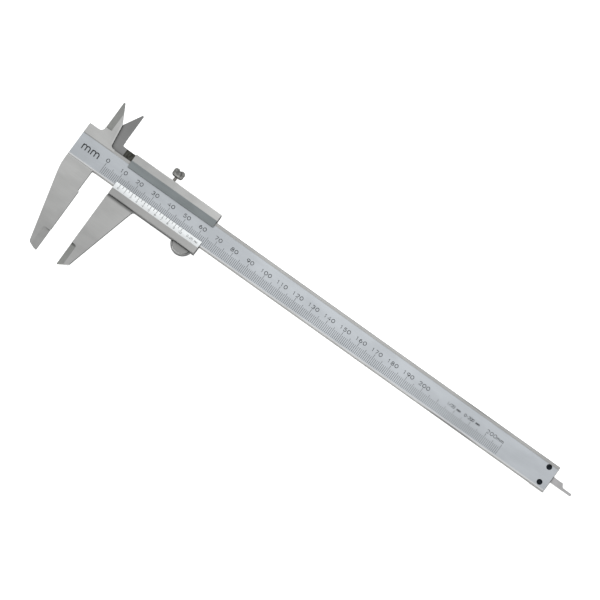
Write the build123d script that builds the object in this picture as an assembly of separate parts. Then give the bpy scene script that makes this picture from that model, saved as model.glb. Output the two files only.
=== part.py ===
"""Vernier caliper of 200 mm nominal range, lying on its back and opened by READING.

Layout frame, in millimetres: X runs along the beam from the main scale's zero, Y points towards the
inside jaws from the scale's baseline, and Z rises from the surface that the caliper lies on.
Slider pieces are drawn with the jaws closed, then moved along X by READING.
Every node is written in the row frame, whose origin is the middle of the base of the whole box.
"""

import os

from build123d import *

# Reading and travel
READING = 12.7
MAX_READING = 220.0
END_STOP_GAP = 0.7

# Beam
BEAM_LEFT = -19.1
BEAM_RIGHT = 281.1
BEAM_BOTTOM = -1.9
BEAM_TOP = 13.6
BEAM_BACK = 1.7
BEAM_FRONT = 5.2
SCALE_FACE = 5.05
SCALE_LOW = -0.75
SCALE_HIGH = 11.75
SCALE_SLOPE_RUN = 0.6
BEAM_CHAMFER = 0.15

# Outside jaws
MEASURING_FACE = -2.97
JAW_BACK = 1.9
JAW_FRONT = 5.0
JAW_TIP = -51.9
JAW_RELIEF_START = -14.5
JAW_RELIEF_DEPTH = 0.6
FIXED_JAW_HEEL_Y = -8.5
FIXED_TIP_HEEL = (-8.45, -50.0)
FIXED_TIP_BREAK = (-5.0, -51.5)
MOVING_JAW_HEEL_X = 13.25
MOVING_TIP_HEEL = (2.55, -48.5)
FIXED_TIP_GRIND_START = -39.6
FIXED_TIP_GRIND_WIDTH = 4.0
MOVING_TIP_GRIND_START = -38.1
MOVING_TIP_GRIND_WIDTH = 3.0
TIP_GRIND_DEPTH = 0.95

# Inside jaws: the fixed one fills the front half of the thickness, the moving one the back half
INSIDE_EDGE = -11.25
INSIDE_TIP = 36.75
INSIDE_TIP_WIDTH = 0.95
INSIDE_SHOULDER = 26.6
FIXED_SHOULDER_X = -4.85
FIXED_ROOT_X = -3.0
FIXED_INSIDE_BACK = 3.5
MOVING_SHOULDER_X = -17.8
MOVING_ROOT_X = -18.4
MOVING_INSIDE_FRONT = 3.4
INSIDE_GRIND_WIDTH = 3.6
INSIDE_GRIND_START = 20.7
KNIFE_EDGE = 0.25
HEAD_TOP = 17.8
NECK_TOP = 18.0
NECK_BOTTOM = 13.8
NECK_RELIEF_LEFT = -8.3
NECK_RELIEF_FRONT = 2.9
HEAD_LAP = 1.1
HEAD_RIGHT = -0.5

# Slider
SLIDER_LEFT = -2.65
SLIDER_RIGHT = 51.25
SLIDER_BOTTOM = -6.75
SLIDER_TOP = 18.2
SLIDER_FRONT = 7.0
SLIDER_WALL = 1.6
SLIDER_CHAMFER = 0.35
SLIDING_GAP = 0.1
LIP_EDGE = 5.6
VERNIER_EDGE = 0.9
VERNIER_FOOT = -2.95
UPPER_BEVEL_EDGE = 10.35
UPPER_BEVEL_TOP = 14.15
GIB_CHANNEL_TOP = 14.35
THUMB_REST_X = 43.5
THUMB_REST_Y = -5.45
THUMB_REST_RADIUS = 6.3
THUMB_REST_CHAMFER = 0.4
THUMB_DISH_RADIUS = 5.2
THUMB_DISH_DEPTH = 0.35
THUMB_DISH_SLOPE = 1.6

# Gib strip and the screws of the upper rail
GIB_THICKNESS = 0.5
GIB_START = 1.0
GIB_END = 48.0
RAIL_SCREW_Z = 3.75
SET_SCREW_XS = (4.0, 46.0)
SET_SCREW_RADIUS = 1.0
SET_SCREW_TOP = 17.4
DOG_POINT_RADIUS = 0.45
SEAT_DEPTH = 0.15
LOCK_X = 20.65
LOCK_STEM_RADIUS = 0.95
LOCK_HEAD_BOTTOM = 20.6
LOCK_HEAD_TOP = 25.1
LOCK_HEAD_HALF_WIDTH = 3.3
LOCK_HEAD_THICKNESS = 2.6
LOCK_HEAD_CHAMFER = 0.35
LOCK_STEM_SEAT = 0.9
LOCK_DISH_RADIUS = 5.0
LOCK_DISH_DEPTH = 0.35

# Depth bar and its rivets
DEPTH_BAR_BOTTOM = 4.5
DEPTH_BAR_TOP = 7.95
DEPTH_BAR_START = 28.0
DEPTH_BAR_BACK = 1.85
DEPTH_BAR_FRONT = 3.35
DEPTH_HEAD_LENGTH = 12.0
DEPTH_TIP_LENGTH = 6.9
DEPTH_TIP_WIDTH = 1.5
DEPTH_TIP_STEP = 1.3
RIVET_XS = (31.0, 37.0)
RIVET_RADIUS = 0.9
RIVET_HEAD_RADIUS = 1.5
GROOVE_START = 26.0

# End stop
STOP_PLATE_LEFT = SLIDER_RIGHT + MAX_READING + END_STOP_GAP
STOP_SCREW_PLACES = ((276.8, 1.3), (276.4, 10.45))
STOP_SCREW_RADIUS = 1.48
STOP_SCREW_HEAD_RADIUS = 2.25
STOP_SCREW_END = 4.3

FIT = 0.05
SLOT_WIDTH = 0.45
SLOT_DEPTH = 0.55
OVERCUT = 1.0


def plate(corners, low, high):
    """Flat plate between two heights, from corners given as (x, y, corner radius)."""
    points = [(x, y) for x, y, _ in corners]
    radii = [radius for _, _, radius in corners]
    face = make_face(FilletPolyline(*points, radius=radii, close=True))
    return Pos(0, 0, low) * extrude(face, amount=high - low, dir=(0, 0, 1))


def rail(corners, start, end):
    """Bar along X between two places, from section corners given as (y, z)."""
    face = make_face(Plane.YZ * Polyline(*corners, close=True))
    return Pos(start, 0, 0) * extrude(face, amount=end - start, dir=(1, 0, 0))


def block(x_low, x_high, y_low, y_high, z_low, z_high):
    """Rectangular block between two corners."""
    corner = Pos(x_low, y_low, z_low)
    return corner * Box(x_high - x_low, y_high - y_low, z_high - z_low, align=Align.MIN)


def rod_up(x, y, low, high, radius, top_radius=None):
    """Round rod along Z, or a cone where the two radii differ."""
    if top_radius is None:
        solid = Cylinder(radius, high - low, align=(Align.CENTER, Align.CENTER, Align.MIN))
    else:
        solid = Cone(radius, top_radius, high - low, align=(Align.CENTER, Align.CENTER, Align.MIN))
    return Pos(x, y, low) * solid


def rod_across(x, low, high, radius):
    """Round rod along Y at the height of the upper rail's screws."""
    standing = Cylinder(radius, high - low, align=(Align.CENTER, Align.CENTER, Align.MIN))
    return Pos(x, low, RAIL_SCREW_Z) * Rot(-90, 0, 0) * standing


def ground_edge(edge_x, side, width, face_z, edge_z, y_low, y_high, corner_radius=0.0):
    """Wedge that grinds a face down to edge_z at edge_x; side is +1 where the metal lies at larger x."""
    slope = (edge_z - face_z) / width
    beyond_z = edge_z + slope * OVERCUT
    clear_z = face_z - OVERCUT if edge_z > face_z else face_z + OVERCUT
    inner_x = edge_x + side * width
    outer_x = edge_x - side * OVERCUT
    profile = [(inner_x, face_z), (outer_x, beyond_z), (outer_x, clear_z), (inner_x, clear_z)]
    face = make_face(Plane.XZ * Polyline(*profile, close=True))
    wedge = Pos(0, y_low, 0) * extrude(face, amount=y_high - y_low, dir=(0, 1, 0))
    if corner_radius == 0.0:
        return wedge
    footprint = [
        (outer_x, y_low, 0),
        (inner_x, y_low, 0),
        (inner_x, y_high, corner_radius),
        (outer_x, y_high, 0),
    ]
    return wedge & plate(footprint, 0, SLIDER_FRONT)


def fixed_outside_jaw():
    """Long lower jaw of the beam, relieved above its measuring face."""
    relief = MEASURING_FACE - JAW_RELIEF_DEPTH
    corners = [
        (BEAM_LEFT, BEAM_BOTTOM + OVERCUT, 0),
        (BEAM_LEFT, FIXED_JAW_HEEL_Y, 30.0),
        (*FIXED_TIP_HEEL, 0.9),
        (*FIXED_TIP_BREAK, 2.0),
        (MEASURING_FACE, JAW_TIP, 0.3),
        (MEASURING_FACE, JAW_RELIEF_START, 0.2),
        (relief, JAW_RELIEF_START, 0.2),
        (relief, BEAM_BOTTOM, 0.8),
        (relief + 2, BEAM_BOTTOM, 0),
        (relief + 2, BEAM_BOTTOM + OVERCUT, 0),
    ]
    jaw = plate(corners, JAW_BACK, JAW_FRONT)
    return thin_tip(jaw, -1, FIXED_TIP_GRIND_WIDTH, FIXED_TIP_GRIND_START)


def thin_tip(jaw, side, width, start):
    """Outside jaw ground thinner towards the measuring face, on both sides, from its tip up to start."""
    low = JAW_TIP - OVERCUT
    front_edge = JAW_FRONT - TIP_GRIND_DEPTH
    back_edge = JAW_BACK + TIP_GRIND_DEPTH
    jaw -= ground_edge(MEASURING_FACE, side, width, JAW_FRONT, front_edge, low, start, 1.2)
    jaw -= ground_edge(MEASURING_FACE, side, width, JAW_BACK, back_edge, low, start, 1.2)
    return jaw


def fixed_inside_jaw():
    """Raised head plate with the knife-edged inside jaw, in the front half of the thickness."""
    lap = BEAM_TOP - HEAD_LAP
    corners = [
        (BEAM_LEFT, lap, 0),
        (BEAM_LEFT, HEAD_TOP, 0.3),
        (INSIDE_EDGE, HEAD_TOP, 2.2),
        (INSIDE_EDGE, INSIDE_TIP, 0),
        (INSIDE_EDGE + INSIDE_TIP_WIDTH, INSIDE_TIP, 0.4),
        (FIXED_SHOULDER_X, INSIDE_SHOULDER, 1.0),
        (FIXED_ROOT_X, BEAM_TOP, 1.8),
        (HEAD_RIGHT, BEAM_TOP, 0),
        (HEAD_RIGHT, lap, 0),
    ]
    jaw = plate(corners, FIXED_INSIDE_BACK, BEAM_FRONT)
    edge_z = FIXED_INSIDE_BACK + KNIFE_EDGE
    return jaw - inside_grind(1, BEAM_FRONT, edge_z)


def inside_grind(side, face_z, edge_z):
    """Wedge that grinds an inside jaw to its knife edge."""
    high = INSIDE_TIP + OVERCUT
    return ground_edge(INSIDE_EDGE, side, INSIDE_GRIND_WIDTH, face_z, edge_z, INSIDE_GRIND_START, high)


def main_beam():
    """Beam with its recessed scale face, the fixed jaws, the depth bar's groove and the screw holes."""
    section = [
        (BEAM_BOTTOM, BEAM_BACK),
        (BEAM_TOP, BEAM_BACK),
        (BEAM_TOP, BEAM_FRONT - BEAM_CHAMFER),
        (BEAM_TOP - BEAM_CHAMFER, BEAM_FRONT),
        (SCALE_HIGH + SCALE_SLOPE_RUN, BEAM_FRONT),
        (SCALE_HIGH, SCALE_FACE),
        (SCALE_LOW, SCALE_FACE),
        (SCALE_LOW - SCALE_SLOPE_RUN, BEAM_FRONT),
        (BEAM_BOTTOM + BEAM_CHAMFER, BEAM_FRONT),
        (BEAM_BOTTOM, BEAM_FRONT - BEAM_CHAMFER),
    ]
    beam = rail(section, BEAM_LEFT, BEAM_RIGHT)
    beam += fixed_outside_jaw()
    beam += fixed_inside_jaw()
    beam -= block(
        GROOVE_START,
        BEAM_RIGHT + OVERCUT,
        DEPTH_BAR_BOTTOM - SLIDING_GAP,
        DEPTH_BAR_TOP + SLIDING_GAP,
        BEAM_BACK - OVERCUT,
        DEPTH_BAR_FRONT + SLIDING_GAP,
    )
    for x, y in STOP_SCREW_PLACES:
        beam -= rod_up(x, y, 0, BEAM_FRONT + OVERCUT, STOP_SCREW_RADIUS + FIT)
    return beam


def moving_outside_jaw():
    """Long lower jaw of the slider."""
    face_top = SLIDER_BOTTOM - 0.3
    corners = [
        (MEASURING_FACE, JAW_TIP, 0.3),
        (*MOVING_TIP_HEEL, 0.6),
        (MOVING_JAW_HEEL_X, SLIDER_BOTTOM, 2.2),
        (MOVING_JAW_HEEL_X + 4, SLIDER_BOTTOM, 0),
        (MOVING_JAW_HEEL_X + 4, SLIDER_BOTTOM + OVERCUT, 0),
        (SLIDER_LEFT, SLIDER_BOTTOM + OVERCUT, 0),
        (SLIDER_LEFT, face_top, 0),
        (MEASURING_FACE, face_top, 0.3),
    ]
    jaw = plate(corners, JAW_BACK, JAW_FRONT)
    return thin_tip(jaw, 1, MOVING_TIP_GRIND_WIDTH, MOVING_TIP_GRIND_START)


def moving_inside_jaw():
    """Knife-edged inside jaw and its neck, in the back half of the thickness, behind the fixed one."""
    corners = [
        (MOVING_ROOT_X, NECK_BOTTOM, 1.0),
        (MOVING_SHOULDER_X, INSIDE_SHOULDER, 1.0),
        (INSIDE_EDGE - INSIDE_TIP_WIDTH, INSIDE_TIP, 0.4),
        (INSIDE_EDGE, INSIDE_TIP, 0),
        (INSIDE_EDGE, NECK_TOP, 0.9),
        (SLIDER_LEFT + OVERCUT, NECK_TOP, 0),
        (SLIDER_LEFT + OVERCUT, GIB_CHANNEL_TOP, 0),
        (SLIDER_LEFT, GIB_CHANNEL_TOP, 0),
        (SLIDER_LEFT, NECK_BOTTOM, 0),
    ]
    jaw = plate(corners, BEAM_BACK, MOVING_INSIDE_FRONT)
    jaw -= inside_grind(-1, BEAM_BACK, MOVING_INSIDE_FRONT - KNIFE_EDGE)
    neck_low = NECK_BOTTOM - OVERCUT
    neck_high = NECK_TOP + OVERCUT
    return jaw - block(
        NECK_RELIEF_LEFT, SLIDER_LEFT, neck_low, neck_high, NECK_RELIEF_FRONT, BEAM_FRONT
    )


def thumb_rest():
    """Half-round thumb rest below the lower rail, with a chamfered rim and a shallow sloped dish."""
    disc = rod_up(THUMB_REST_X, THUMB_REST_Y, JAW_BACK, JAW_FRONT, THUMB_REST_RADIUS)
    disc = chamfer(disc.edges(), THUMB_REST_CHAMFER)
    dish_floor = JAW_FRONT - THUMB_DISH_DEPTH
    dish_clear = JAW_FRONT + OVERCUT
    clear_radius = THUMB_DISH_RADIUS + (dish_clear - dish_floor) * THUMB_DISH_SLOPE
    disc -= rod_up(
        THUMB_REST_X, THUMB_REST_Y, dish_floor, dish_clear, THUMB_DISH_RADIUS, clear_radius
    )
    below = THUMB_REST_Y - THUMB_REST_RADIUS - OVERCUT
    return disc & block(SLIDER_LEFT, SLIDER_RIGHT, below, SLIDER_BOTTOM + OVERCUT, 0, SLIDER_FRONT)


def slider_channel():
    """Channel that wraps the beam: back wall, two rails, the vernier lip and the upper lip."""
    lip_back = BEAM_FRONT + SLIDING_GAP
    channel_bottom = BEAM_BOTTOM - SLIDING_GAP
    section = [
        (SLIDER_BOTTOM + SLIDER_CHAMFER, 0),
        (SLIDER_TOP - SLIDER_CHAMFER, 0),
        (SLIDER_TOP, SLIDER_CHAMFER),
        (SLIDER_TOP, SLIDER_FRONT - SLIDER_CHAMFER),
        (SLIDER_TOP - SLIDER_CHAMFER, SLIDER_FRONT),
        (UPPER_BEVEL_TOP, SLIDER_FRONT),
        (UPPER_BEVEL_EDGE, LIP_EDGE),
        (UPPER_BEVEL_EDGE, lip_back),
        (GIB_CHANNEL_TOP, lip_back),
        (GIB_CHANNEL_TOP, SLIDER_WALL),
        (channel_bottom, SLIDER_WALL),
        (channel_bottom, lip_back),
        (VERNIER_EDGE, lip_back),
        (VERNIER_EDGE, LIP_EDGE),
        (VERNIER_FOOT, SLIDER_FRONT),
        (SLIDER_BOTTOM + SLIDER_CHAMFER, SLIDER_FRONT),
        (SLIDER_BOTTOM, SLIDER_FRONT - SLIDER_CHAMFER),
        (SLIDER_BOTTOM, SLIDER_CHAMFER),
    ]
    return rail(section, SLIDER_LEFT, SLIDER_RIGHT)


def slider_body():
    """Slider in one piece with its jaws and thumb rest, drilled for its screws and rivets."""
    body = slider_channel()
    body += moving_outside_jaw()
    body += moving_inside_jaw()
    body += thumb_rest()
    hole_start = GIB_CHANNEL_TOP - OVERCUT
    hole_end = SLIDER_TOP + OVERCUT
    for x in SET_SCREW_XS:
        body -= rod_across(x, hole_start, hole_end, SET_SCREW_RADIUS + FIT)
    body -= rod_across(LOCK_X, hole_start, hole_end, LOCK_STEM_RADIUS + FIT)
    for x in RIVET_XS:
        body -= depth_bar_rivet(x)
    return body


def gib_strip():
    """Bronze leaf between the beam's upper edge and the upper rail, seated for the set screws."""
    bottom = BEAM_TOP + SLIDING_GAP
    top = bottom + GIB_THICKNESS
    strip = block(GIB_START, GIB_END, bottom, top, JAW_BACK, JAW_FRONT)
    for x in SET_SCREW_XS:
        strip -= rod_across(x, top - SEAT_DEPTH, top + OVERCUT, DOG_POINT_RADIUS + FIT)
    return strip


def gib_set_screw(x):
    """Slotted set screw with a dog point that rests in the gib strip's seat."""
    shoulder = GIB_CHANNEL_TOP + SEAT_DEPTH
    seat = BEAM_TOP + SLIDING_GAP + GIB_THICKNESS - SEAT_DEPTH
    screw = rod_across(x, shoulder, SET_SCREW_TOP, SET_SCREW_RADIUS)
    screw += rod_across(x, seat, shoulder, DOG_POINT_RADIUS)
    reach = 2 * SET_SCREW_RADIUS
    slot_floor = SET_SCREW_TOP - SLOT_DEPTH
    slot_back = RAIL_SCREW_Z - SLOT_WIDTH / 2
    slot_front = RAIL_SCREW_Z + SLOT_WIDTH / 2
    return screw - block(x - reach, x + reach, slot_floor, SLIDER_TOP, slot_back, slot_front)


def lock_screw_stem():
    """Threaded shank of the lock screw, which presses on the gib strip."""
    tip = BEAM_TOP + SLIDING_GAP + GIB_THICKNESS + FIT
    stem = rod_across(LOCK_X, tip, LOCK_HEAD_BOTTOM + LOCK_STEM_SEAT - FIT, LOCK_STEM_RADIUS)
    return chamfer(stem.edges().filter_by(GeomType.CIRCLE), 0.2)


def lock_screw_head():
    """Flat thumb head with two lobes, a notch between them and a dish in each face."""
    half = LOCK_HEAD_HALF_WIDTH
    right_side = [
        (half - 0.2, LOCK_HEAD_BOTTOM, 1.4),
        (half, LOCK_HEAD_TOP, 1.5),
        (0.9, LOCK_HEAD_TOP, 0.6),
    ]
    left_side = [(-x, y, radius) for x, y, radius in reversed(right_side)]
    notch = [(0, LOCK_HEAD_TOP - 0.8, 0.6)]
    outline = [(LOCK_X + x, y, radius) for x, y, radius in right_side + notch + left_side]
    low = RAIL_SCREW_Z - LOCK_HEAD_THICKNESS / 2
    high = RAIL_SCREW_Z + LOCK_HEAD_THICKNESS / 2
    head = plate(outline, low, high)
    by_height = head.faces().sort_by(Axis.Z)
    head = chamfer(by_height[0].edges() + by_height[-1].edges(), LOCK_HEAD_CHAMFER)
    dish_y = (LOCK_HEAD_BOTTOM + LOCK_HEAD_TOP) / 2
    for face_z, side in ((high, 1), (low, -1)):
        centre_z = face_z + side * (LOCK_DISH_RADIUS - LOCK_DISH_DEPTH)
        head -= Pos(LOCK_X, dish_y, centre_z) * Sphere(LOCK_DISH_RADIUS)
    hole_start = LOCK_HEAD_BOTTOM - OVERCUT
    hole_end = LOCK_HEAD_BOTTOM + LOCK_STEM_SEAT
    return head - rod_across(LOCK_X, hole_start, hole_end, LOCK_STEM_RADIUS + FIT)


def depth_bar():
    """Flat depth bar with a thicker riveted head and a stepped narrow tip."""
    tip_start = BEAM_RIGHT - DEPTH_TIP_LENGTH
    tip_top = DEPTH_BAR_BOTTOM + DEPTH_TIP_WIDTH
    corners = [
        (DEPTH_BAR_START, DEPTH_BAR_BOTTOM, 0),
        (BEAM_RIGHT, DEPTH_BAR_BOTTOM, 0.2),
        (BEAM_RIGHT, tip_top, 0.2),
        (tip_start + DEPTH_TIP_STEP, tip_top, 1.2),
        (tip_start, DEPTH_BAR_TOP, 0.3),
        (DEPTH_BAR_START, DEPTH_BAR_TOP, 0),
    ]
    bar = plate(corners, DEPTH_BAR_BACK, DEPTH_BAR_FRONT)
    bar += block(
        DEPTH_BAR_START,
        DEPTH_BAR_START + DEPTH_HEAD_LENGTH,
        DEPTH_BAR_BOTTOM,
        DEPTH_BAR_TOP,
        SLIDER_WALL,
        DEPTH_BAR_FRONT,
    )
    for x in RIVET_XS:
        bar -= depth_bar_rivet(x)
    return bar


def depth_bar_rivet(x):
    """Rivet with its head flush in the slider's back wall."""
    y = (DEPTH_BAR_BOTTOM + DEPTH_BAR_TOP) / 2
    head = rod_up(x, y, 0, RIVET_HEAD_RADIUS - RIVET_RADIUS, RIVET_HEAD_RADIUS, RIVET_RADIUS)
    return head + rod_up(x, y, 0, DEPTH_BAR_FRONT - 0.2, RIVET_RADIUS)


def end_stop_plate():
    """Plate on the back of the beam's far end that bridges the groove and stops the slider."""
    corners = [
        (STOP_PLATE_LEFT, BEAM_BOTTOM, 0.8),
        (BEAM_RIGHT, BEAM_BOTTOM, 0.8),
        (BEAM_RIGHT, BEAM_TOP, 0.8),
        (STOP_PLATE_LEFT, BEAM_TOP, 0.8),
    ]
    stop = plate(corners, 0, BEAM_BACK)
    stop = chamfer(stop.faces().sort_by(Axis.Z)[0].edges(), 0.25)
    for x, y in STOP_SCREW_PLACES:
        stop -= end_stop_screw_body(x, y, FIT)
    return stop


def end_stop_screw_body(x, y, clearance=0.0):
    """Countersunk screw without its slot, grown sideways by a clearance."""
    shank_radius = STOP_SCREW_RADIUS + clearance
    head_radius = STOP_SCREW_HEAD_RADIUS + clearance
    head = rod_up(x, y, 0, head_radius - shank_radius, head_radius, shank_radius)
    return head + rod_up(x, y, 0, STOP_SCREW_END, shank_radius)


def end_stop_screw(x, y):
    """Slotted countersunk screw whose end stays below the scale face."""
    screw = end_stop_screw_body(x, y)
    slot_angle = 35 if y > BEAM_TOP / 2 else -20
    reach = 2 * STOP_SCREW_HEAD_RADIUS
    half_slot = SLOT_WIDTH / 2
    slot = Rot(0, 0, slot_angle) * block(-reach, reach, -half_slot, half_slot, 0, SLOT_DEPTH)
    return screw - Pos(x, y, 0) * slot


def slide_pieces():
    """Every piece that travels with the slider, drawn at the closed position."""
    pieces = {
        "slider_body": slider_body(),
        "gib_strip": gib_strip(),
        "lock_screw_stem": lock_screw_stem(),
        "lock_screw_head": lock_screw_head(),
        "depth_bar": depth_bar(),
    }
    for number, x in enumerate(SET_SCREW_XS, start=1):
        pieces[f"gib_set_screw_{number}"] = gib_set_screw(x)
    for number, x in enumerate(RIVET_XS, start=1):
        pieces[f"depth_bar_rivet_{number}"] = depth_bar_rivet(x)
    return pieces


def beam_pieces():
    """Every piece that stays with the beam."""
    pieces = {"main_beam": main_beam(), "end_stop_plate": end_stop_plate()}
    for number, (x, y) in enumerate(STOP_SCREW_PLACES, start=1):
        pieces[f"end_stop_screw_{number}"] = end_stop_screw(x, y)
    return pieces


def write_parts():
    """Write one STEP file per node, in the row frame."""
    os.makedirs("parts", exist_ok=True)
    pieces = beam_pieces()
    for name, piece in slide_pieces().items():
        pieces[name] = Pos(READING, 0, 0) * piece
    boxes = [piece.bounding_box() for piece in pieces.values()]
    middle_x = (min(box.min.X for box in boxes) + max(box.max.X for box in boxes)) / 2
    middle_y = (min(box.min.Y for box in boxes) + max(box.max.Y for box in boxes)) / 2
    to_row = Pos(-middle_x, -middle_y, 0)
    print(f"row origin in the layout frame: {middle_x:.4f}, {middle_y:.4f}")
    for name, piece in pieces.items():
        export_step(to_row * piece, f"parts/{name}.step")


write_parts()
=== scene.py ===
"""Looks of a 200 mm vernier caliper: graduations, numbers, thread, metal finishes, lights and camera.

Blender's units are metres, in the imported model's own frame. Sizes and places on the object are in
millimetres and are multiplied by MM. "Scale frame" means X from the main scale's zero and Y from the
lower end of its lines; on the slider, X is from the vernier's zero instead. Places along Z are from
the surface that the caliper lies on.
"""

import math

import bmesh
import bpy
from mathutils import Matrix, Vector


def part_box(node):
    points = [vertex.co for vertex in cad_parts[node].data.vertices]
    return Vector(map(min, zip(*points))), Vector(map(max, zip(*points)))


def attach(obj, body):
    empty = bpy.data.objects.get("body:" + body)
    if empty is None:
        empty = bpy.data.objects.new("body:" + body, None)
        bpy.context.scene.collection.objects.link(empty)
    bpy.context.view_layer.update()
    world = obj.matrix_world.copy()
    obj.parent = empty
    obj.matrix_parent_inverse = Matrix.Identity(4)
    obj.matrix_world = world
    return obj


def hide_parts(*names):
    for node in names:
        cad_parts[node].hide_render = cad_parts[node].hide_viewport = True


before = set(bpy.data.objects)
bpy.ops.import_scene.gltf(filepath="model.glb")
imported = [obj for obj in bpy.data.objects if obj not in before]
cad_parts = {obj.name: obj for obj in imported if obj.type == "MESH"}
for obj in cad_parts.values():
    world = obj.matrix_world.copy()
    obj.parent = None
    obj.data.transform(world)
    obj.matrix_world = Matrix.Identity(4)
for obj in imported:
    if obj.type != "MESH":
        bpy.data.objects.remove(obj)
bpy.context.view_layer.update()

MM = 0.001

# Distances on the CAD parts: ends from the scale frame's origin, faces from the beam's front
HEAD_LENGTH = 19.1
SLIDER_RIGHT = 51.25
INSIDE_JAW_TOP = 36.75
SCALE_FACE_DEPTH = 0.15
VERNIER_EDGE_RISE = 0.4

# Places of the scales, measured from the CAD boxes
beam_low, beam_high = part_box("main_beam")
slider_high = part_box("slider_body")[1]
ZERO_X = beam_low.x + HEAD_LENGTH * MM
VERNIER_ZERO_X = slider_high.x - SLIDER_RIGHT * MM
BASE_Y = beam_high.y - INSIDE_JAW_TOP * MM
SCALE_FACE_Z = beam_high.z - SCALE_FACE_DEPTH * MM
VERNIER_EDGE_Z = beam_high.z + VERNIER_EDGE_RISE * MM
SLIDER_FRONT_Z = slider_high.z

# Places on the beam with painted light and shade or their own finish, in the scale frame
HEAD_END_X = (-2.0, -1.0)
UPPER_EDGE_START_X = (-1.0, 0.0)
SUNK_FACE_Y = (-0.75, 11.85)
SUNK_FACE_Z = (5.0, 5.1)
LOWER_SLOPE_Y = (-1.4, -0.75)
UPPER_SLOPE_Y = (11.8, 12.35)
TOP_RAIL_Y = (12.3, 13.65)
TOP_EDGE_Y = (13.25, 13.45)
HEAD_STEP_Y = (-2.15, -1.7)
FIXED_TIP_X = (-8.0, -2.75)
FIXED_TIP_Y = (-41.0, -38.8)
KNIFE_START_Y = (20.0, 20.5)
KNIFE_FOOT_X = (-11.3, -7.65)
KNIFE_FOOT_Y = (20.6, 21.4)
# Painted highlight along the fixed inside jaw's right edge
INSIDE_HIGHLIGHT_LEAN = 0.1407
INSIDE_HIGHLIGHT_X = (-1.8, -1.0)
INSIDE_HIGHLIGHT_Y = (15.5, 28.0)
# Painted shade: faint dark lines along the beam's top and bottom edges, fading towards the back
LINE_SHADE_FRONT_Z = (3.0, 4.8)
TOP_LINE_SHADE_X = (222, 240)
TOP_LINE_SHADE_Y = (12.85, 13.75)
LOW_LINE_SHADE_X = (208, 238)
LOW_LINE_SHADE_Y = (-1.4, -1.3)

# Places on the slider with painted light and shade or their own finish, in the scale frame
SLIDER_LEFT = -2.65
VERNIER_EDGE_Y = 0.9
VERNIER_FOOT_Y = -2.95
VERNIER_PAINTED_LIGHT_Y = (-2.7, 0.3)
UPPER_BEVEL_Y = (10.35, 14.15)
LIP_Z = 5.4
NECK_Y = 13.5
NECK_RECESS_X = (-8.3, SLIDER_LEFT)
NECK_RECESS_Z = (2.6, 3.1)
JAW_STEP_Y = -6.75
STEP_SHADOW_X = (-2.8, 13.4)
STEP_SHADOW_REACH = (2.2, 0.4)
JAW_FRONT_Z = (4.8, 4.9)
MOVING_TIP_X = (-2.97, 0.1)
MOVING_TIP_Y = (-38.2, -38.0)
MOVING_TIP_Z = (4.9, 4.99)
TIP_FOOT_Y = (-39.4, -39.0)
JAW_END_Y = (-48.6, -48.2)
THUMB_REST_CENTRE = (43.5, -5.45)
THUMB_REST_RADIUS = 6.5

# How much a surface faces the front, from 0 for a wall to 1 for the flat front
WALL_FACING = (0.3, 0.5)
KNIFE_FACING = (0.93, 0.95)
DISH_SLOPE_FACING = (0.78, 0.93)

# Lines of both scales
MARK_THICKNESS = 0.02
TICK_WIDTH = 0.19
TICK_FOOT = -0.35
SCALE_END = 250
NUMBERED_END = 200
SHORT_TICK, MIDDLE_TICK, LONG_TICK = 3.85, 4.9, 5.7
VERNIER_DIVISIONS = 20
VERNIER_PITCH = 1.95
VERNIER_TICK_WIDTH = 0.22
LONG_VERNIER_FOOT, SHORT_VERNIER_FOOT = -0.9, -0.5

# Texts: height of the foot in the scale frame, then width, height and pitch of the characters
SCALE_NUMBERS = (6.2, 1.7, 1.85, 2.4)
RANGE_TEXT = (6.4, 1.0, 1.5, 1.2)
END_TEXT = (6.2, 1.6, 1.85, 2.2)
UNIT_TEXT = (4.4, 4.2, 4.6, 5.6)
VERNIER_NUMBERS = (-2.25, 0.85, 1.1, 1.05)
READING_TEXT = (-1.5, 0.8, 1.2, 0.98)
RANGE_X, END_TEXT_X, UNIT_X, READING_X = 224.7, 244.7, -10.2, 46.2

# Widths of the strokes that the texts are drawn with
NUMBER_STROKE = 0.33
INSCRIPTION_STROKE = 0.28
UNIT_STROKE = 0.6
VERNIER_STROKE = 0.17

# Lock screw's thread
THREAD_DEPTH = 0.2
THREAD_PITCH = 0.4
THREAD_SIDES = 32
THREAD_ROWS_PER_TURN = 8
THREAD_END_LENGTH = 0.25
THREAD_END_TAPER = 0.2

# Camera, at the photographed viewing angle
CAMERA_AZIMUTH = -54.43
CAMERA_ELEVATION = 80.83
CAMERA_ROLL = 0.246
CAMERA_DISTANCE = 10.0
VIEW_WIDTH = 0.30766
VIEW_CENTRE = (-0.004328, 0.020409)
SENSOR_WIDTH = 36.0

# Lights: direction, distance in metres, size in metres and radiance
SOFTBOXES = {
    "key": ((0.0, 0.75, 0.72), 1.6, (2.2, 1.1), 1.4),
    "overhead": ((-0.05, 0.12, 1.0), 1.7, (1.6, 1.3), 0.6),
}
STUDIO_COLOUR = (0.97, 0.985, 1.0, 1.0)
STUDIO_STRENGTH = 0.5
SHEET_HALF_WIDTH = 4.0
SHEET_GLOW = 0.82

# Texture of every metal with its painted shade in crevices, and the even grain of the screws
CREVICE_SHADE_REACH = 1.2
CREVICE_SHADE_DARKEST = 0.4
EDGE_RADIUS = 0.08
GRAIN_SHARE = 0.8
GRAIN_DEPTH = 0.003
ROUGHNESS_SPREAD = 0.05
FINE_GRAIN = (0.3, 0.3, 0.3)
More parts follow.
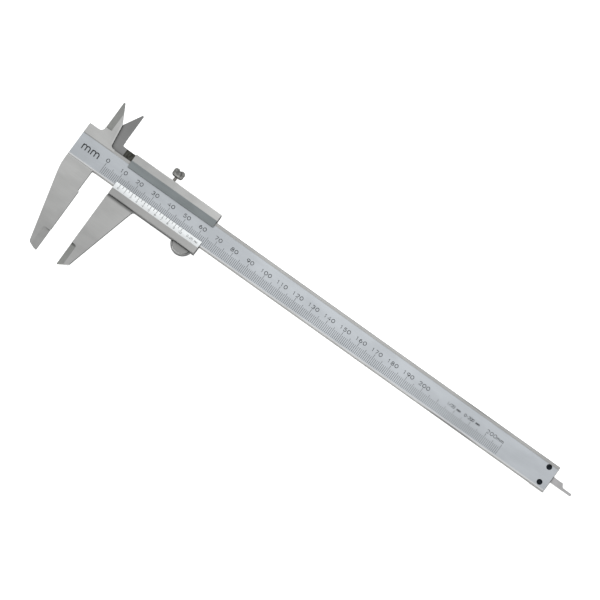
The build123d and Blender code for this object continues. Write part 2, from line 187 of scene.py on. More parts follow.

# Reflectances, among them lit and shaded copies of the steel and chrome for painted light and shade
STEEL = (0.50, 0.50, 0.49)
SATIN_CHROME = (0.50, 0.525, 0.55)
VERNIER_CHROME = (0.49, 0.505, 0.51)
SHADED_BEVEL_CHROME = (0.415, 0.45, 0.455)
DARK_NECK_STEEL = (0.215, 0.215, 0.213)
GROUND_TIP = (0.49, 0.495, 0.47)
SHADED_SIDE_STEEL = (0.19, 0.19, 0.188)
LIT_FLANK_STEEL = (0.58, 0.58, 0.57)
SHADED_REST_STEEL = (0.29, 0.29, 0.285)
LIT_RIM_STEEL = (0.65, 0.65, 0.64)
WORN_AND_HIGHLIGHT_STEEL = (0.6, 0.6, 0.59)
SHADED_SLOPE_STEEL = (0.39, 0.395, 0.4)
RECESS_SHADE_BLACK = (0.042, 0.042, 0.037)
NICKEL = (0.205, 0.205, 0.195)
STEM_NICKEL = (0.43, 0.41, 0.385)
BLACK_OXIDE = (0.016, 0.02, 0.025)
BAR_STEEL = (0.40, 0.395, 0.395)
BRONZE = (0.52, 0.34, 0.16)
MARK_BLACK = (0.02, 0.022, 0.025)
WORN_BLACK = (0.07, 0.075, 0.08)
SHEET_TONES = ((0.93, 0.93, 0.925), (0.95, 0.95, 0.95))
WHITE = (1.0, 1.0, 1.0)
WALL_SHADE_TINT = (0.3, 0.3, 0.3)

# Painted light and shade: brightness factors at places along and across the pieces, where the light falls
# brighter or dimmer, in millimetres
BEAM_PAINTED_LIGHT_ALONG = ((-19, 0.84), (0, 0.85), (70, 0.93), (100, 1.0), (200, 1.0), (216, 0.93), (280, 0.87))
BEAM_PAINTED_LIGHT_ACROSS = (
    (-52, 0.78), (-44, 0.79), (-35, 0.84), (-22, 0.94), (-6, 1.03), (0, 1.0),
    (14, 1.05), (18, 1.03), (26, 1.04), (30, 1.0), (37, 1.0)
)
SLIDER_PAINTED_LIGHT_ALONG = ((-3, 0.8), (5, 0.78), (15, 0.84), (27, 0.87), (40, 0.91), (51, 1.0))
SLIDER_PAINTED_LIGHT_ACROSS = (
    (-52, 0.93), (-33, 0.91), (-20, 1.0), (-6.85, 1.0), (-6.45, 0.86), (-3, 0.86), (0, 1.0), (18, 1.02)
)


# ---------------------------------------------------------------- marks and thread

def add_piece(name, mesh, body, material):
    """New piece that rides on a CAD body and takes the finish it is given."""
    mesh.name = name
    mesh.materials.append(material)
    piece = bpy.data.objects.new(name, mesh)
    bpy.context.scene.collection.objects.link(piece)
    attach(piece, body)
    return piece


def finished_mesh(bm):
    """Mesh from a bmesh, which is freed."""
    mesh = bpy.data.meshes.new("mesh")
    bm.to_mesh(mesh)
    bm.free()
    return mesh


def on_beam(x, y):
    """Point of the main scale's face, from a place in the scale frame."""
    return ZERO_X + x * MM, BASE_Y + y * MM, SCALE_FACE_Z


def on_vernier(x, y):
    """Point of the vernier's sloping face, from a place in the scale frame."""
    share = (y - VERNIER_EDGE_Y) / (VERNIER_FOOT_Y - VERNIER_EDGE_Y)
    z = VERNIER_EDGE_Z + share * (SLIDER_FRONT_Z - VERNIER_EDGE_Z)
    return VERNIER_ZERO_X + x * MM, BASE_Y + y * MM, z


def add_line(bm, x, y_low, y_high, width, on_face):
    """Thin closed bar across the beam, half sunk into a face."""
    left, right = x - width / 2, x + width / 2
    rise = Vector((0, 0, MARK_THICKNESS * MM / 2))
    lower, upper = [], []
    for corner in ((left, y_low), (right, y_low), (right, y_high), (left, y_high)):
        foot = Vector(on_face(*corner))
        lower.append(bm.verts.new(foot - rise))
        upper.append(bm.verts.new(foot + rise))
    bm.faces.new(lower[::-1])
    bm.faces.new(upper)
    for i in range(4):
        j = (i + 1) % 4
        bm.faces.new((lower[i], lower[j], upper[j], upper[i]))


def arc(centre, radii, start, end, steps=10):
    """Points along an ellipse's arc, with angles in degrees."""
    points = []
    for i in range(steps + 1):
        angle = math.radians(start + (end - start) * i / steps)
        points.append((centre[0] + radii[0] * math.cos(angle), centre[1] + radii[1] * math.sin(angle)))
    return points


def ring(centre, radii, steps=16):
    """Closed ellipse, whose last point is its first."""
    return arc(centre, radii, 90, 450, steps)


# Single-line characters: strokes in a box one unit wide and one unit high
GLYPHS = {
    "0": [ring((0.5, 0.5), (0.5, 0.5))],
    "1": [[(0.28, 0.78), (0.56, 1.0), (0.56, 0.0)]],
    "2": [arc((0.5, 0.7), (0.42, 0.3), 165, -38) + [(0.06, 0.0), (0.96, 0.0)]],
    "3": [arc((0.46, 0.76), (0.4, 0.24), 150, -90), arc((0.46, 0.26), (0.46, 0.26), 90, -150)],
    "4": [[(0.72, 0.0), (0.72, 1.0), (0.02, 0.28), (1.0, 0.28)]],
    "5": [[(0.88, 1.0), (0.2, 1.0), (0.13, 0.55)] + arc((0.48, 0.33), (0.44, 0.33), 115, -150)],
    "6": [ring((0.5, 0.31), (0.45, 0.31)), arc((0.83, 0.34), (0.78, 0.66), 178, 108)],
    "7": [[(0.06, 1.0), (0.94, 1.0), (0.38, 0.0)]],
    "8": [ring((0.5, 0.76), (0.38, 0.24)), ring((0.5, 0.26), (0.46, 0.26))],
    "9": [ring((0.5, 0.69), (0.45, 0.31)), arc((0.17, 0.66), (0.78, 0.66), -2, -72)],
    "m": [
        [(0.0, 0.0), (0.0, 0.64)],
        arc((0.25, 0.4), (0.25, 0.22), 180, 0) + [(0.5, 0.0)],
        arc((0.75, 0.4), (0.25, 0.22), 180, 0) + [(1.0, 0.0)],
    ],
    ".": [ring((0.5, 0.06), (0.08, 0.06), 6)],
    "-": [[(0.2, 0.45), (0.8, 0.45)]],
    "/": [[(0.12, -0.05), (0.88, 1.05)]],
    " ": [],
}


def text_strokes(text, centre_x, base_y, width, height, pitch):
    """Strokes of a line of text in the scale frame, centred on a place along the scale."""
    left = centre_x - (pitch * (len(text) - 1) + width) / 2
    strokes = []
    for i, character in enumerate(text):
        for stroke in GLYPHS[character]:
            strokes.append([(left + i * pitch + u * width, base_y + v * height) for u, v in stroke])
    return strokes


def stroke_mesh(strokes, width, on_face):
    """Flattened beads along strokes, half sunk into a face."""
    curve = bpy.data.curves.new("strokes", "CURVE")
    curve.dimensions = "3D"
    curve.bevel_depth = width * MM / 2
    curve.bevel_resolution = 1
    curve.use_fill_caps = True
    for stroke in strokes:
        closed = math.dist(stroke[0], stroke[-1]) < MARK_THICKNESS
        points = stroke[:-1] if closed else stroke
        spline = curve.splines.new("POLY")
        spline.points.add(len(points) - 1)
        for target, (x, y) in zip(spline.points, points):
            target.co = (x * MM, y * MM, 0.0, 1.0)
        spline.use_cyclic_u = closed
    shape = bpy.data.objects.new("strokes", curve)
    bpy.context.scene.collection.objects.link(shape)
    graph = bpy.context.evaluated_depsgraph_get()
    graph.update()
    mesh = bpy.data.meshes.new_from_object(shape.evaluated_get(graph))
    bpy.data.objects.remove(shape)
    bpy.data.curves.remove(curve)
    flatness = MARK_THICKNESS / width
    for vertex in mesh.vertices:
        x, y, z = on_face(vertex.co.x / MM, vertex.co.y / MM)
        vertex.co = (x, y, z + vertex.co.z * flatness)
    return mesh


def tick_length(value):
    """Length of the main scale's line at a number of millimetres."""
    if value % 10 == 0:
        return LONG_TICK
    if value % 5 == 0:
        return MIDDLE_TICK
    return SHORT_TICK


def main_scale(paint):
    """Lines and numbers of the main scale, its range and its unit."""
    bm = bmesh.new()
    for value in range(SCALE_END + 1):
        add_line(bm, value, TICK_FOOT, tick_length(value), TICK_WIDTH, on_beam)
    add_piece("main_scale_ticks", finished_mesh(bm), "beam", paint)

    numbers = []
    for value in range(0, NUMBERED_END + 1, 10):
        numbers += text_strokes(str(value), value, *SCALE_NUMBERS)
    mesh = stroke_mesh(numbers, NUMBER_STROKE, on_beam)
    add_piece("main_scale_numbers", mesh, "beam", paint)

    inscription = text_strokes("1/20 mm  0-200 mm", RANGE_X, *RANGE_TEXT)
    inscription += text_strokes("200mm", END_TEXT_X, *END_TEXT)
    mesh = stroke_mesh(inscription, INSCRIPTION_STROKE, on_beam)
    add_piece("range_inscription", mesh, "beam", paint)

    unit = text_strokes("mm", UNIT_X, *UNIT_TEXT)
    mesh = stroke_mesh(unit, UNIT_STROKE, on_beam)
    add_piece("unit_mark", mesh, "beam", paint)


def vernier_scale(paint):
    """Lines and numbers of the vernier, and its reading step."""
    bm = bmesh.new()
    top = VERNIER_EDGE_Y - MARK_THICKNESS
    for step in range(VERNIER_DIVISIONS + 1):
        foot = LONG_VERNIER_FOOT if step % 2 == 0 else SHORT_VERNIER_FOOT
        add_line(bm, step * VERNIER_PITCH, foot, top, VERNIER_TICK_WIDTH, on_vernier)
    add_piece("vernier_ticks", finished_mesh(bm), "slider", paint)

    numbers = []
    for number in range(VERNIER_DIVISIONS // 2 + 1):
        numbers += text_strokes(str(number), number * 2 * VERNIER_PITCH, *VERNIER_NUMBERS)
    numbers += text_strokes("0.05 mm", READING_X, *READING_TEXT)
    mesh = stroke_mesh(numbers, VERNIER_STROKE, on_vernier)
    add_piece("vernier_numbers", mesh, "slider", paint)


def thread_circle(bm, low, high, y):
    """Points of the thread's surface round the stem at a height; its peak winds with the height."""
    centre = (low + high) / 2
    crest = (high.x - low.x) / 2
    root = crest - THREAD_DEPTH * MM
    inward = min(1.0, min(y - low.y, high.y - y) / (THREAD_END_LENGTH * MM))
    circle = []
    for side in range(THREAD_SIDES):
        share = side / THREAD_SIDES
        wave = abs(((y - low.y) / (THREAD_PITCH * MM) - share) % 1.0 * 2 - 1)
        radius = (root + (crest - root) * wave) * (1 - THREAD_END_TAPER * (1 - inward))
        x = centre.x + radius * math.cos(math.tau * share)
        z = centre.z - radius * math.sin(math.tau * share)
        circle.append(bm.verts.new((x, y, z)))
    return circle


def thread_mesh(low, high):
    """Closed threaded rod between two corners of its box."""
    length = high.y - low.y
    rows = round(length / (THREAD_PITCH * MM) * THREAD_ROWS_PER_TURN)
    bm = bmesh.new()
    circles = [thread_circle(bm, low, high, low.y + length * row / rows) for row in range(rows + 1)]
    bm.faces.new(circles[0])
    for below, above in zip(circles, circles[1:]):
        for i in range(THREAD_SIDES):
            j = (i + 1) % THREAD_SIDES
            bm.faces.new((below[i], above[i], above[j], below[j]))
    bm.faces.new(circles[-1][::-1])
    bmesh.ops.recalc_face_normals(bm, faces=bm.faces)
    return finished_mesh(bm)


def lock_screw_thread(material):
    """Stem of the lock screw with its real thread; it turns and advances with the thumb head."""
    mesh = thread_mesh(*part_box("lock_screw_stem"))
    for polygon in mesh.polygons:
        polygon.use_smooth = True
    piece = add_piece("lock_screw_thread", mesh, "lock_head", material)
    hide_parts("lock_screw_stem")


# ---------------------------------------------------------------- materials

class Finish:
    """Builds one material's nodes. Places are in millimetres in the scale frame."""

    def __init__(self, name, origin_x=ZERO_X):
        self.material = bpy.data.materials.new(name)
        self.material.use_nodes = True
        self.nodes = self.material.node_tree.nodes
        self.links = self.material.node_tree.links
        self.surface = self.nodes["Principled BSDF"]
        coordinates = self.nodes.new("ShaderNodeTexCoord")
        mapping = self.nodes.new("ShaderNodeMapping")
        mapping.inputs["Scale"].default_value = (1 / MM,) * 3
        mapping.inputs["Location"].default_value = (-origin_x / MM, -BASE_Y / MM, 0)
        self.links.new(coordinates.outputs["Object"], mapping.inputs["Vector"])
        self.place = mapping.outputs[0]
        self.x, self.y, self.z = self.split(self.place)
        self.facing = self.split(coordinates.outputs["Normal"])[2]

    def put(self, socket, value):
        """Sets an input to another node's output or to a plain value."""
        if isinstance(value, bpy.types.NodeSocket):
            self.links.new(value, socket)
        else:
            socket.default_value = value

    def split(self, vector):
        """X, Y and Z of a vector."""
        node = self.nodes.new("ShaderNodeSeparateXYZ")
        self.links.new(vector, node.inputs[0])
        return node.outputs

    def calculate(self, operation, *values):
        """Result of one Math node."""
        node = self.nodes.new("ShaderNodeMath")
        node.operation = operation
        for socket, value in zip(node.inputs, values):
            self.put(socket, value)
        return node.outputs[0]

    def times(self, first, *others):
        """Product of several values."""
        for other in others:
            first = self.calculate("MULTIPLY", first, other)
        return first

    def ramp(self, value, low, high, start=0.0, end=1.0):
        """Smooth change from start at low to end at high, held beyond both."""
        node = self.nodes.new("ShaderNodeMapRange")
        node.interpolation_type = "SMOOTHSTEP"
        self.put(node.inputs["Value"], value)
        for name, number in (("From Min", low), ("From Max", high), ("To Min", start), ("To Max", end)):
            node.inputs[name].default_value = number
        return node.outputs["Result"]

    def fall(self, value, low, high):
        """Smooth change from 1 at low to 0 at high, held beyond both."""
        return self.ramp(value, low, high, 1.0, 0.0)

    def profile(self, value, points):
        """Factor that runs straight from one (place, factor) point to the next."""
        low, high = points[0][0], points[-1][0]
        node = self.nodes.new("ShaderNodeValToRGB")
        share = self.calculate("DIVIDE", self.calculate("SUBTRACT", value, low), high - low)
        self.links.new(share, node.inputs[0])
        elements = node.color_ramp.elements
        while len(elements) < len(points):
            elements.new(0.5)
        for element, (place, factor) in zip(elements, points):
            element.position = (place - low) / (high - low)
            element.color = (factor, factor, factor, 1.0)
        return node.outputs[0]

    def span(self, value, low, high, soft=0.06):
        """1 between two places, 0 outside them."""
        rise = self.ramp(value, low - soft, low + soft)
        return self.times(rise, self.fall(value, high - soft, high + soft))

    def disc(self, centre, radius, soft=0.1):
        """1 within a circle seen from above, 0 outside it."""
        flat = self.nodes.new("ShaderNodeCombineXYZ")
        self.links.new(self.x, flat.inputs[0])
        self.links.new(self.y, flat.inputs[1])
        away = self.nodes.new("ShaderNodeVectorMath")
        away.operation = "DISTANCE"
        self.links.new(flat.outputs[0], away.inputs[0])
        away.inputs[1].default_value = (*centre, 0.0)
        return self.fall(away.outputs["Value"], radius - soft, radius + soft)

    def walls(self):
        """1 on walls that don't face the front, 0 on faces that do."""
        return self.fall(self.facing, *WALL_FACING)

    def mix(self, share, first, second):
        """Colour between two colours."""
        node = self.nodes.new("ShaderNodeMix")
        node.data_type = "RGBA"
        factor, first_in, second_in = node.inputs[0], node.inputs[6], node.inputs[7]
        self.put(factor, share)
        for socket, colour in ((first_in, first), (second_in, second)):
            self.put(socket, (*colour, 1.0) if isinstance(colour, tuple) else colour)
        return node.outputs[2]

    def scale(self, colour, factor):
        """Colour made brighter or darker by a factor."""
        node = self.nodes.new("ShaderNodeVectorMath")
        node.operation = "SCALE"
        self.put(node.inputs[0], colour)
        self.put(node.inputs["Scale"], factor)
        return node.outputs[0]

    def lay_over(self, colour, layers):
        """Colour with others laid over it in turn, each by its share of 0 to 1."""
        for share, other in layers:
            colour = self.mix(share, colour, other)
        return colour

    def shade(self, colour, shades):
        """Painted light and shade: colour scaled by factors in turn, each by its share of 0 to 1."""
        for share, factor in shades:
            colour = self.scale(colour, self.ramp(share, 0.0, 1.0, 1.0, factor))
        return colour

    def noise(self, sizes, detail=3.0):
        """Noise of about 0.3 to 0.7, whose patches have the given sizes along X, Y and Z."""
        mapping = self.nodes.new("ShaderNodeMapping")
        mapping.inputs["Scale"].default_value = tuple(1 / size for size in sizes)
        self.links.new(self.place, mapping.inputs["Vector"])
        node = self.nodes.new("ShaderNodeTexNoise")
        node.inputs["Scale"].default_value = 1.0
        node.inputs["Detail"].default_value = detail
        self.links.new(mapping.outputs[0], node.inputs["Vector"])
        return node.outputs["Fac"]

    def crevices(self, reach, darkest):
        """Painted shade: 1 in the open, down to darkest where another surface stands within reach."""
        node = self.nodes.new("ShaderNodeAmbientOcclusion")
        node.samples = 4
        node.inputs["Distance"].default_value = reach * MM
        return self.ramp(node.outputs["AO"], 0.2, 0.95, darkest, 1.0)

    def edges(self, radius, amount=1.0):
        """Share of worn edge, up to amount where the surface turns, and the softened normal."""
        bevel = self.nodes.new("ShaderNodeBevel")
        bevel.samples = 4
        bevel.inputs["Radius"].default_value = radius * MM
        geometry = self.nodes.new("ShaderNodeNewGeometry")
        dot = self.nodes.new("ShaderNodeVectorMath")
        dot.operation = "DOT_PRODUCT"
        self.links.new(bevel.outputs[0], dot.inputs[0])
        self.links.new(geometry.outputs["Normal"], dot.inputs[1])
        return self.ramp(dot.outputs["Value"], 0.8, 0.995, amount, 0.0), bevel.outputs[0]

    def dull_walls(self, share):
        """Painted shade: takes the glancing shine off the walls, by a share of 0 to 1."""
        tint = self.mix(share, WHITE, WALL_SHADE_TINT)
        self.put(self.surface.inputs["Specular Tint"], tint)

    def bump(self, height, depth, normal=None):
        """Relief of a height between 0 and 1, as deep as depth."""
        node = self.nodes.new("ShaderNodeBump")
        node.inputs["Distance"].default_value = depth * MM
        self.links.new(height, node.inputs["Height"])
        if normal:
            self.links.new(normal, node.inputs["Normal"])
        self.links.new(node.outputs[0], self.surface.inputs["Normal"])

    def metal(self, colour, roughness, grain_sizes, patch_sizes, patch_amount=0.05, wear=0.15):
        """Finishes the metal: grain lines, patches, painted shade in crevices and bright worn edges."""
        grain = self.noise(grain_sizes)
        patches = self.noise(patch_sizes, 2.0)
        fine = self.ramp(grain, 0.3, 0.7, 1 - patch_amount * GRAIN_SHARE, 1 + patch_amount * GRAIN_SHARE)
        broad = self.ramp(patches, 0.3, 0.7, 1 - patch_amount, 1 + patch_amount)
        # Grain and patches, darkened by the painted shade in crevices
        tone_and_painted_light = self.times(fine, broad, self.crevices(CREVICE_SHADE_REACH, CREVICE_SHADE_DARKEST))
        worn, soft_normal = self.edges(EDGE_RADIUS, wear)
        colour = self.mix(worn, self.scale(colour, tone_and_painted_light), WORN_AND_HIGHLIGHT_STEEL)
        self.put(self.surface.inputs["Base Color"], colour)
        self.surface.inputs["Metallic"].default_value = 1.0
        rough = self.ramp(grain, 0.25, 0.75, roughness - ROUGHNESS_SPREAD, roughness + ROUGHNESS_SPREAD)
        self.put(self.surface.inputs["Roughness"], rough)
        self.bump(grain, GRAIN_DEPTH, soft_normal)
        return self.material


def beam_layers(finish, walls):
    """Colours of the beam's lower slope with painted shade, head step with a painted highlight, knife
    edge, and walls with painted shade and light, each with its share.
    """
    x, y = finish.x, finish.y
    head = finish.fall(x, *HEAD_END_X)
    knife = finish.times(finish.fall(finish.facing, *KNIFE_FACING), finish.ramp(y, *KNIFE_START_Y))
    return (
        # Painted shade: the lower slope of the sunk face darker
        (finish.span(y, *LOWER_SLOPE_Y), SHADED_SLOPE_STEEL),
        # Painted highlight: a bright line along the head's lower step
        (finish.times(finish.span(y, *HEAD_STEP_Y), head), WORN_AND_HIGHLIGHT_STEEL),
        (knife, GROUND_TIP),
        # Painted shade: the head's walls darker than its faces
        (finish.times(walls, head), SHADED_SIDE_STEEL),
        # Painted light: the beam's walls past the head lighter than its steel
        (finish.times(walls, finish.ramp(x, *HEAD_END_X)), LIT_FLANK_STEEL),
    )


def beam_shades(finish):
    """Factors of painted light and shade on the beam's edges, slopes and inside jaw, and of painted shade
    in faint dark lines along its edges, each with its share.
    """
    x, y = finish.x, finish.y
    past_head = finish.ramp(x, *UPPER_EDGE_START_X)
    lean = finish.calculate("ADD", x, finish.times(y, INSIDE_HIGHLIGHT_LEAN))
    # Painted shade at the foot of the fixed inside jaw's ground facet
    knife_foot_shade = finish.times(finish.span(y, *KNIFE_FOOT_Y, soft=0.2), finish.span(x, *KNIFE_FOOT_X))
    # Painted highlight: a bright band along the fixed inside jaw's right edge
    inside_edge_highlight = finish.times(
        finish.span(lean, *INSIDE_HIGHLIGHT_X, soft=0.15), finish.span(y, *INSIDE_HIGHLIGHT_Y, soft=0.8)
    )
    # Painted shade in dark lines along the top and bottom edges, fading towards the back
    front = finish.ramp(finish.z, *LINE_SHADE_FRONT_Z)
    top_line_shade = finish.times(
        front, finish.span(y, *TOP_LINE_SHADE_Y, soft=0.1), finish.span(x, *TOP_LINE_SHADE_X, soft=9.0)
    )
    low_line_shade = finish.times(front, finish.fall(y, *LOW_LINE_SHADE_Y), finish.span(x, *LOW_LINE_SHADE_X, soft=10.0))
    return (
        (knife_foot_shade, 0.92),
        (inside_edge_highlight, 1.17),
        # Painted light on the upper slope; painted shade on the top rail, darker still on its top edge
        (finish.times(finish.span(y, *UPPER_SLOPE_Y), past_head), 1.2),
        (finish.times(finish.span(y, *TOP_RAIL_Y), past_head), 0.84),
        (finish.times(finish.ramp(y, *TOP_EDGE_Y), past_head), 0.5),
        (top_line_shade, 0.7),
        (low_line_shade, 0.55),
    )


def beam_finish():
    """Ground steel with painted light and shade on the jaws and edges, and the satin chrome of the
    recessed scale face.
    """
    finish = Finish("beam_steel")
    x, y, z = finish.x, finish.y, finish.z
    # Painted light and shade: brighter and darker along and across the beam
    tone_and_painted_light = finish.times(finish.profile(x, BEAM_PAINTED_LIGHT_ALONG), finish.profile(y, BEAM_PAINTED_LIGHT_ACROSS))
    face = finish.times(finish.span(y, *SUNK_FACE_Y), finish.span(z, *SUNK_FACE_Z, soft=0.03))
    colour = finish.scale(finish.mix(face, STEEL, SATIN_CHROME), tone_and_painted_light)
    tip_shoulder = finish.times(finish.span(x, *FIXED_TIP_X), finish.span(y, *FIXED_TIP_Y))
    walls = finish.times(finish.walls(), finish.fall(tip_shoulder, 0.0, 1.0))
    colour = finish.lay_over(colour, beam_layers(finish, walls))
    colour = finish.shade(colour, beam_shades(finish))
    # Painted shade: glancing shine taken off the beam's walls
    finish.dull_walls(walls)
    return finish.metal(colour, 0.33, grain_sizes=(14.0, 0.12, 0.12), patch_sizes=(16.0, 7.0, 7.0))


def neck_shares(finish):
    """Shares of the slider's darker inside jaw and neck, and of the recess in the neck with its
    near-black painted shade.
    """
    x, y, z = finish.x, finish.y, finish.z
    left = finish.fall(x, SLIDER_LEFT - 0.03, SLIDER_LEFT + 0.03)
    neck = finish.times(left, finish.ramp(y, NECK_Y - 0.05, NECK_Y))
    recess_shade = finish.times(neck, finish.span(x, *NECK_RECESS_X, soft=0.02), finish.span(z, *NECK_RECESS_Z))
    return neck, recess_shade


def slider_layers(finish, walls, tip, below):
    """Colours of the slider's vernier, bevel, ground tip, neck, thumb rest and walls, among them painted
    light and shade, with shares.
    """
    y = finish.y
    front = finish.ramp(finish.z, LIP_Z - 0.05, LIP_Z + 0.05)
    vernier = finish.times(finish.span(y, VERNIER_FOOT_Y, VERNIER_EDGE_Y + 0.05), front)
    # Painted light: the vernier's chrome brighter from its foot towards its thin edge
    lit_vernier_chrome = finish.scale(VERNIER_CHROME, finish.ramp(y, *VERNIER_PAINTED_LIGHT_Y, 0.94, 1.09))
    neck, recess_shade = neck_shares(finish)
    rest = finish.times(finish.disc(THUMB_REST_CENTRE, THUMB_REST_RADIUS), below)
    streaks = finish.ramp(finish.noise((0.35, 2.0, 2.0)), 0.35, 0.65, 0.7, 1.7)
    return (
        (vernier, lit_vernier_chrome),
        # Painted shade: the upper bevel in a darker copy of the chrome
        (finish.times(finish.span(y, *UPPER_BEVEL_Y), front), SHADED_BEVEL_CHROME),
        # The ground tip's own warm colour, painted a little darker as shade
        (tip, finish.scale(GROUND_TIP, 0.92)),
        # Darker steel of the inside jaw and neck, with painted shade along the gap by the fixed jaw
        (neck, finish.scale(DARK_NECK_STEEL, finish.crevices(reach=2.2, darkest=0.45))),
        # Painted shade on the thumb rest's face, painted highlight on its dish slope
        (rest, SHADED_REST_STEEL),
        (finish.times(rest, finish.span(finish.facing, *DISH_SLOPE_FACING, soft=0.02)), LIT_RIM_STEEL),
        # Painted shade: the slider's walls darker than its faces
        (walls, SHADED_SIDE_STEEL),
        # Painted shade: the recess in the neck near black, in streaks
        (recess_shade, finish.scale(RECESS_SHADE_BLACK, streaks)),
    )


def slider_shades(finish, tip, below):
    """Factors of the painted shadow under the slider's step and of painted shade at the ground tip's
    foot, with shares.
    """
    x, y, z = finish.x, finish.y, finish.z
    far, near = STEP_SHADOW_REACH
    shadow = finish.ramp(y, JAW_STEP_Y - far, JAW_STEP_Y - near)
    jaw_front = finish.times(finish.span(x, *STEP_SHADOW_X, soft=0.3), finish.ramp(z, *JAW_FRONT_Z))
    step_foot = finish.times(shadow, below, jaw_front)
    # Painted shade at the foot of the moving jaw's ground tip
    tip_foot_shade = finish.times(tip, finish.ramp(y, *TIP_FOOT_Y))
    return (step_foot, 0.55), (tip_foot_shade, 0.6)


def slider_finish():
    """Ground steel with a bright vernier with painted light, a grey upper bevel painted as shade, a
    darker inside jaw and neck, and a recess painted near black as shade.
    """
    finish = Finish("slider_steel", VERNIER_ZERO_X)
    x, y, z = finish.x, finish.y, finish.z
    # Painted light and shade: brighter and darker along and across the slider
    tone_and_painted_light = finish.times(finish.profile(x, SLIDER_PAINTED_LIGHT_ALONG), finish.profile(y, SLIDER_PAINTED_LIGHT_ACROSS))
    low_jaw = finish.fall(y, *MOVING_TIP_Y)
    tip = finish.times(finish.span(x, *MOVING_TIP_X, soft=0.35), low_jaw, finish.fall(z, *MOVING_TIP_Z))
    below = finish.fall(y, JAW_STEP_Y - 0.05, JAW_STEP_Y)
    walls = finish.times(finish.walls(), finish.ramp(y, *JAW_END_Y))
    colour = finish.lay_over(finish.scale(STEEL, tone_and_painted_light), slider_layers(finish, walls, tip, below))
    colour = finish.shade(colour, slider_shades(finish, tip, below))
    # Painted shade: glancing shine taken off the slider's walls
    finish.dull_walls(walls)
    return finish.metal(colour, 0.34, grain_sizes=(12.0, 0.14, 0.14), patch_sizes=(12.0, 7.0, 7.0))


def plain_metal(name, colour, roughness, grain_sizes, patch_size=4.0, patch_amount=0.06, wear=0.15):
    """Metal of one colour."""
    finish = Finish(name)
    return finish.metal(colour, roughness, grain_sizes, (patch_size,) * 3, patch_amount, wear)


def mark_paint():
    """Matt black paint in the engraved marks, slightly worn."""
    finish = Finish("mark_black")
    wear = finish.ramp(finish.noise((0.5, 0.5, 0.5)), 0.45, 0.75)
    colour = finish.mix(wear, MARK_BLACK, WORN_BLACK)
    finish.put(finish.surface.inputs["Base Color"], colour)
    finish.surface.inputs["Roughness"].default_value = 0.6
    finish.bump(wear, depth=0.002)
    return finish.material


def finish_cad_nodes():
    """Gives every CAD node its own finish."""
    bar = plain_metal("bar_steel", BAR_STEEL, 0.34, (10.0, 0.1, 0.1))
    nickel = plain_metal("dark_nickel", NICKEL, 0.34, FINE_GRAIN, patch_size=1.3, patch_amount=0.3)
    black = plain_metal(
        "black_oxide", BLACK_OXIDE, 0.4, FINE_GRAIN, patch_size=0.8, patch_amount=0.3, wear=0.02
    )
    finishes = {
        "main_beam": beam_finish(),
        "slider_body": slider_finish(),
        "end_stop_plate": plain_metal("plate_steel", STEEL, 0.36, (8.0, 0.12, 0.12)),
        "gib_strip": plain_metal("bronze_leaf", BRONZE, 0.4, (6.0, 0.08, 0.08)),
        "end_stop_screw_1": black,
        "end_stop_screw_2": black,
        "depth_bar": bar,
        "depth_bar_rivet_1": bar,
        "depth_bar_rivet_2": bar,
    }
    for name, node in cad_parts.items():
        node.data.materials.clear()
        node.data.materials.append(finishes.get(name, nickel))


# ---------------------------------------------------------------- stage

def floor():
    """Pale, plain sheet under the caliper, softly lit through from below."""
    finish = Finish("white_sheet")
    cloud = finish.noise((60.0, 60.0, 60.0))
    colour = finish.mix(cloud, *SHEET_TONES)
    finish.put(finish.surface.inputs["Base Color"], colour)
    finish.surface.inputs["Roughness"].default_value = 0.9
    finish.surface.inputs["Emission Color"].default_value = (*WHITE, 1.0)
    finish.surface.inputs["Emission Strength"].default_value = SHEET_GLOW
    finish.bump(cloud, depth=0.01)
    bm = bmesh.new()
    bmesh.ops.create_grid(bm, x_segments=1, y_segments=1, size=SHEET_HALF_WIDTH)
    mesh = finished_mesh(bm)
    mesh.materials.append(finish.material)
    sheet = bpy.data.objects.new("white_sheet", mesh)
    bpy.context.scene.collection.objects.link(sheet)


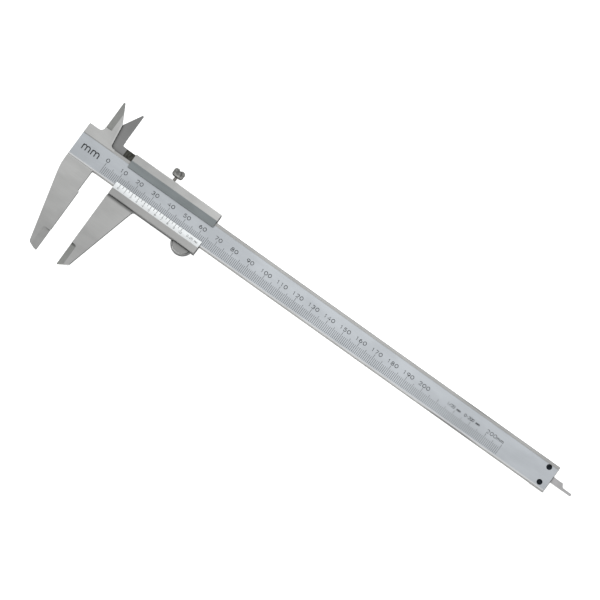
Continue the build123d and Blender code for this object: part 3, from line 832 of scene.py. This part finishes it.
def softbox(name, direction, distance, size, radiance):
    """Rectangular soft light that faces the caliper from a direction and isn't seen itself."""
    light = bpy.data.lights.new(name, "AREA")
    light.shape = "RECTANGLE"
    light.size, light.size_y = size
    light.energy = radiance * math.pi * size[0] * size[1]
    lamp = bpy.data.objects.new(name, light)
    bpy.context.scene.collection.objects.link(lamp)
    towards = Vector(direction).normalized()
    lamp.location = towards * distance
    lamp.rotation_mode = "QUATERNION"
    lamp.rotation_quaternion = (-towards).to_track_quat("-Z", "Y")
    lamp.visible_camera = False


def lights():
    """Studio light: brightest on the inside jaws' side, softer overhead, pale all round."""
    world = bpy.data.worlds.new("studio")
    world.use_nodes = True
    background = world.node_tree.nodes["Background"]
    background.inputs["Color"].default_value = STUDIO_COLOUR
    background.inputs["Strength"].default_value = STUDIO_STRENGTH
    bpy.context.scene.world = world
    for name, settings in SOFTBOXES.items():
        softbox(name, *settings)


def camera():
    """Long-lens camera at the photographed angle, without lens shift."""
    azimuth, elevation = math.radians(CAMERA_AZIMUTH), math.radians(CAMERA_ELEVATION)
    level = math.cos(elevation)
    back = Vector((level * math.cos(azimuth), level * math.sin(azimuth), math.sin(elevation)))
    across = Vector((0, 0, 1)).cross(back).normalized()
    right = Matrix.Rotation(math.radians(CAMERA_ROLL), 3, back) @ across
    up = back.cross(right)
    data = bpy.data.cameras.new("camera")
    data.sensor_width = SENSOR_WIDTH
    data.lens = SENSOR_WIDTH * CAMERA_DISTANCE / VIEW_WIDTH
    data.clip_start = 0.1
    data.clip_end = 5 * CAMERA_DISTANCE
    viewer = bpy.data.objects.new("camera", data)
    bpy.context.scene.collection.objects.link(viewer)
    place = back * CAMERA_DISTANCE + right * VIEW_CENTRE[0] + up * VIEW_CENTRE[1]
    turn = Matrix((right, up, back)).transposed().to_4x4()
    viewer.matrix_world = Matrix.Translation(place) @ turn
    bpy.context.scene.camera = viewer


finish_cad_nodes()
mark_black = mark_paint()
main_scale(mark_black)
vernier_scale(mark_black)
stem_nickel = plain_metal("stem_nickel", STEM_NICKEL, 0.38, FINE_GRAIN, patch_size=1.3, patch_amount=0.2)
lock_screw_thread(stem_nickel)
floor()
lights()
camera()
bpy.context.scene.view_settings.view_transform = "Standard"
